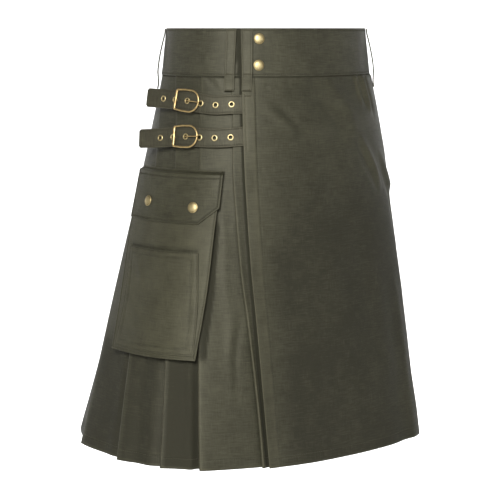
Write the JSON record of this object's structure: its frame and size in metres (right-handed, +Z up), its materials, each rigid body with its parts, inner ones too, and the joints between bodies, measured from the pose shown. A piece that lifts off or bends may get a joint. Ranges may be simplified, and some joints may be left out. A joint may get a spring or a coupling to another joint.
{
  "type": "kilt",
  "caption": "Pleated canvas utility kilt with a flat wrap apron, wide waistband, belt loops, two buckled straps and a cargo pocket, standing open as worn",
  "frame": {"origin": "middle of the waist opening, half way down the waistband, where the wearer's waist holds the kilt", "axes": "+Z up, -Y the way the wearer faces (the apron), +X to the wearer's left; the cargo pocket and the apron's free edge are at -X, the wearer's right"},
  "size_m": [0.5176, 0.4086, 0.5994],
  "materials": {
    "canvas": "matt olive cotton canvas",
    "pocket_canvas": "matt olive cotton canvas, two layers",
    "strap_canvas": "matt olive canvas, folded and stitched stiff",
    "antique_brass": "worn antique brass, satin",
    "dark_brass": "dark antique brass, polished on the high edges"
  },
  "bodies": {
    "root": {"apron_over": "canvas", "apron_under": "canvas", "belt_loop_1": "canvas", "belt_loop_2": "canvas", "belt_loop_3": "canvas", "belt_loop_4": "canvas", "belt_loop_5": "canvas", "belt_loop_6": "canvas", "buckle_lower": "dark_brass", "buckle_tab_lower": "strap_canvas", "buckle_tab_upper": "strap_canvas", "buckle_upper": "dark_brass", "eyelet_lower_1": "antique_brass", "eyelet_lower_2": "antique_brass", "eyelet_lower_3": "antique_brass", "eyelet_lower_4": "antique_brass", "eyelet_lower_5": "antique_brass", "eyelet_lower_6": "antique_brass", "eyelet_upper_1": "antique_brass", "eyelet_upper_2": "antique_brass", "eyelet_upper_3": "antique_brass", "eyelet_upper_4": "antique_brass", "eyelet_upper_5": "antique_brass", "eyelet_upper_6": "antique_brass", "flap_snap_back": "antique_brass", "flap_snap_front": "antique_brass", "pleats_left": "canvas", "pleats_right": "canvas", "pocket_body": "pocket_canvas", "pocket_flap": "pocket_canvas", "pocket_patch": "pocket_canvas", "prong_lower": "dark_brass", "prong_upper": "dark_brass", "strap_lower": "strap_canvas", "strap_upper": "strap_canvas", "waist_snap_lower": "antique_brass", "waist_snap_upper": "antique_brass", "waistband_back": "canvas", "waistband_front": "canvas"}
  },
  "joints": []
}
